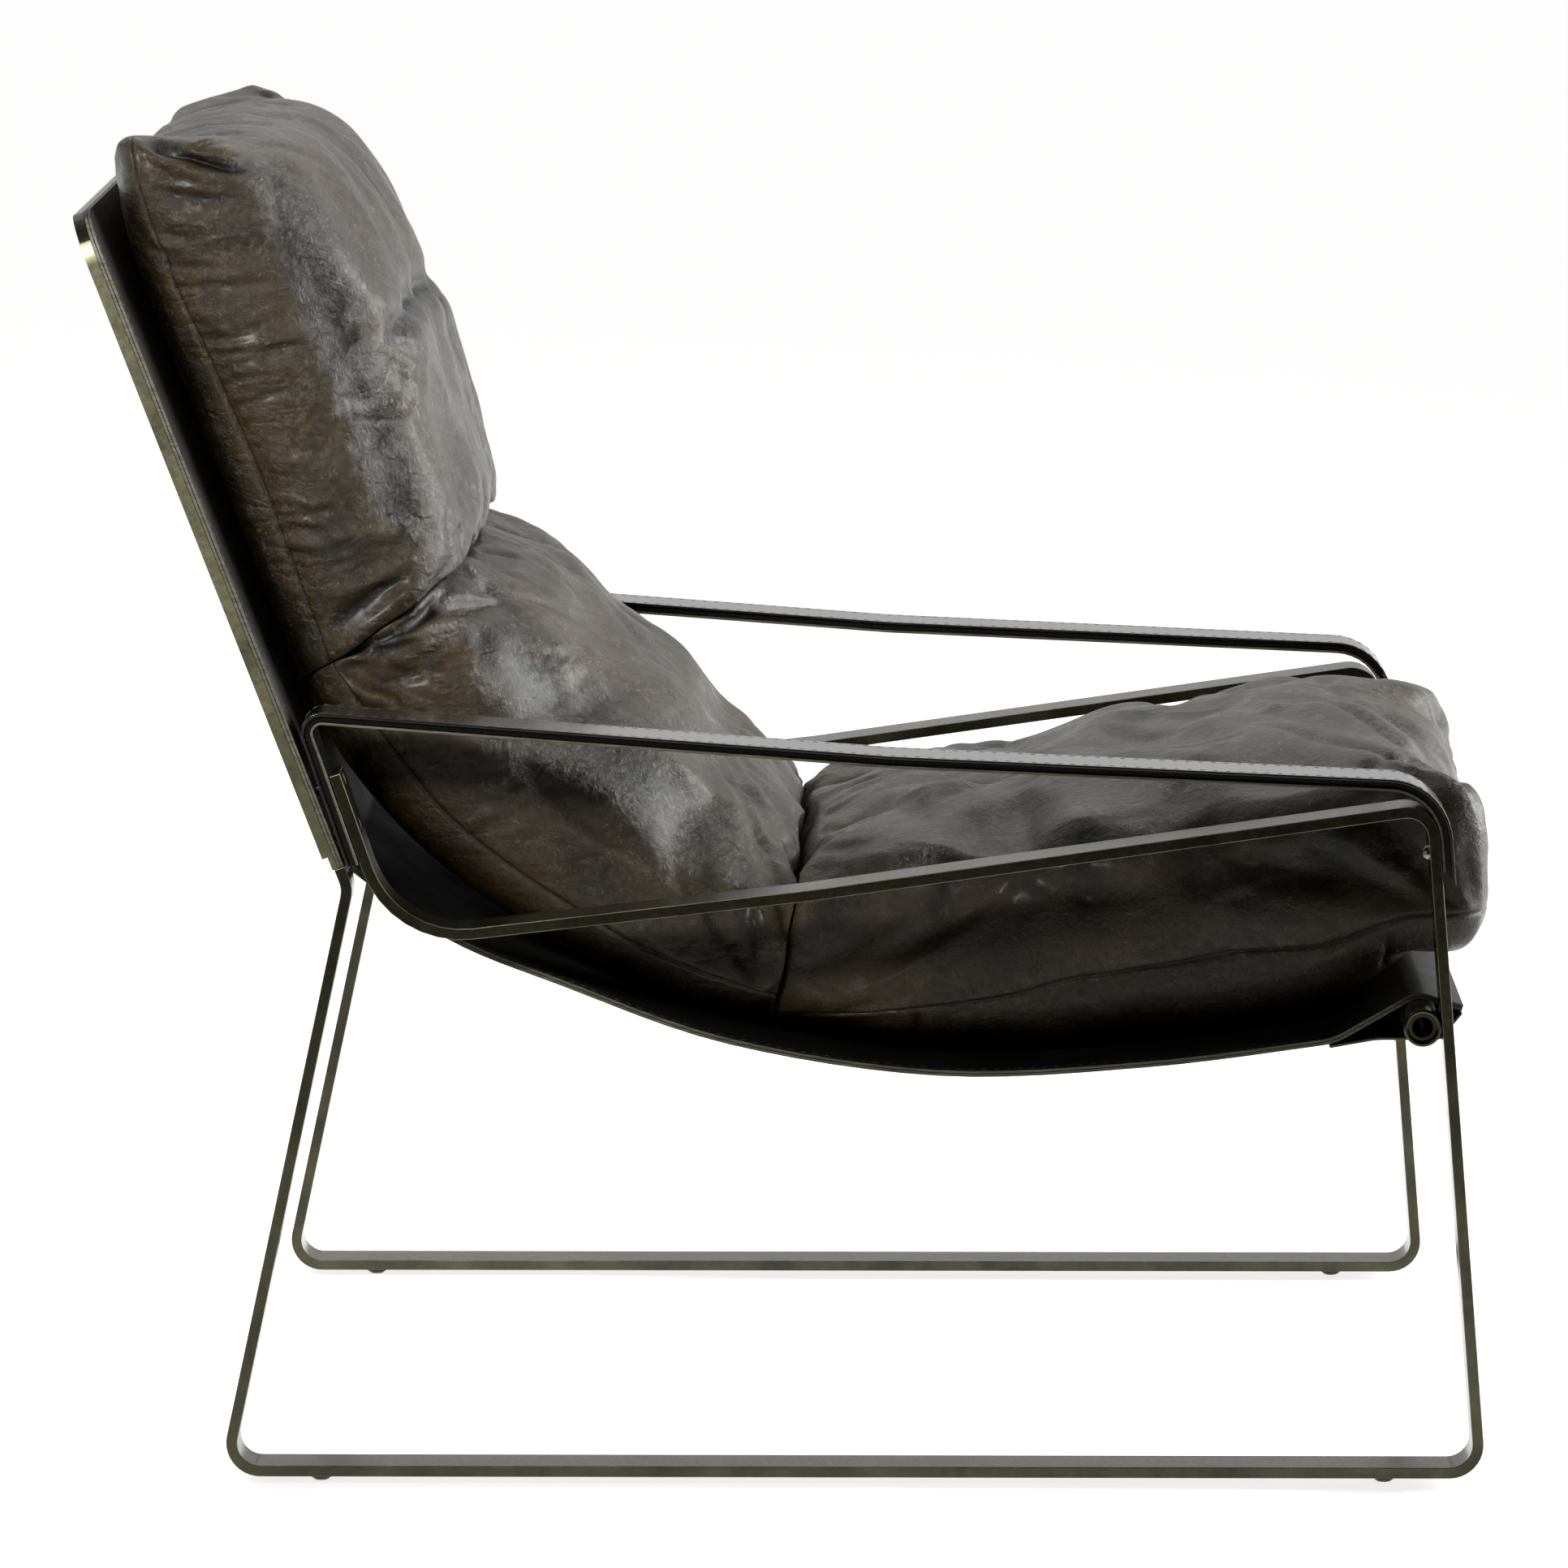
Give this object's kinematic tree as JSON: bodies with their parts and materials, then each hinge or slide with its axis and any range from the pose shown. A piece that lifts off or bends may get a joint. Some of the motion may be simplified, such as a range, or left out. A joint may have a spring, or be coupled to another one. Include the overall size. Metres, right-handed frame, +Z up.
{
  "type": "leather sling lounge chair",
  "caption": "Lounge chair with bent flat-bar side loops, a leather sling seat and back, leather-covered arms and stuffed leather cushions.",
  "frame": {"origin": "on the floor under the middle of the chair's box", "axes": "+X to the front of the chair, +Y to the sitter's left, +Z up"},
  "size_m": [0.8907, 0.709, 0.8457],
  "materials": {
    "frame_steel": "antique bronze lacquer on hot rolled flat bar, satin",
    "dark_hardware": "blackened steel fasteners and strip, satin",
    "sling_leather": "smooth thick black saddle leather with olive grey cut edges",
    "arm_leather": "smooth black leather, stitched along both edges",
    "cushion_leather": "waxed dark brown pull-up leather, soft and wrinkled",
    "glide_plastic": "dark grey moulded glide"
  },
  "bodies": {
    "root": {"back_lower_rail": "frame_steel", "back_panel": "sling_leather", "back_top_rail": "frame_steel", "front_cross_tube": "frame_steel", "left_arm_core": "dark_hardware", "left_arm_lower_leather": "arm_leather", "left_arm_screw": "dark_hardware", "left_arm_upper_leather": "arm_leather", "left_clamp_bolt_lower": "dark_hardware", "left_clamp_bolt_upper": "dark_hardware", "left_front_glide": "glide_plastic", "left_leg_loop": "frame_steel", "left_rear_glide": "glide_plastic", "left_sling_screw_lower": "dark_hardware", "left_sling_screw_middle": "dark_hardware", "left_sling_screw_upper": "dark_hardware", "left_upright": "frame_steel", "lower_back_cushion": "cushion_leather", "right_arm_core": "dark_hardware", "right_arm_lower_leather": "arm_leather", "right_arm_screw": "dark_hardware", "right_arm_upper_leather": "arm_leather", "right_clamp_bolt_lower": "dark_hardware", "right_clamp_bolt_upper": "dark_hardware", "right_front_glide": "glide_plastic", "right_leg_loop": "frame_steel", "right_rear_glide": "glide_plastic", "right_sling_screw_lower": "dark_hardware", "right_sling_screw_middle": "dark_hardware", "right_sling_screw_upper": "dark_hardware", "right_upright": "frame_steel", "seat_cushion": "cushion_leather", "sling_face": "sling_leather", "sling_front_wrap": "sling_leather", "sling_lining": "sling_leather", "upper_back_cushion": "cushion_leather"}
  },
  "joints": []
}
